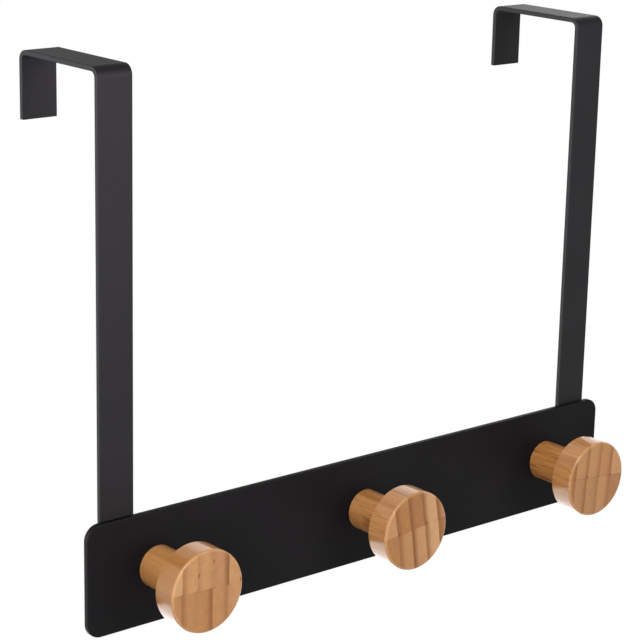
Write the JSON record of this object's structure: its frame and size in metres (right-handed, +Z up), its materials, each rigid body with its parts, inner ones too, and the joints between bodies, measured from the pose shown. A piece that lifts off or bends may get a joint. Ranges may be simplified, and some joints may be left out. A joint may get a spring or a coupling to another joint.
{
  "type": "over-door hook rack",
  "caption": "Black steel coat rack that hangs over the top of a door on bent straps, with turned bamboo knobs to hang things on.",
  "frame": {"origin": "middle of the left hook's seat, the flat underside that lies on the door's top edge", "axes": "+Z up, +X along the plate towards the right hook, -Y towards the room and the knobs, +Y over the door"},
  "size_m": [0.25, 0.0785, 0.198],
  "materials": {
    "black_steel": "satin black powder coat",
    "bamboo": "laminated bamboo, clear semi-gloss varnish",
    "screw_steel": "zinc plated"
  },
  "bodies": {
    "root": {"back_plate": "black_steel", "left_strap": "black_steel", "right_strap": "black_steel", "knob_left": "bamboo", "knob_middle": "bamboo", "knob_right": "bamboo", "screw_left": "screw_steel", "screw_middle": "screw_steel", "screw_right": "screw_steel"}
  },
  "joints": []
}
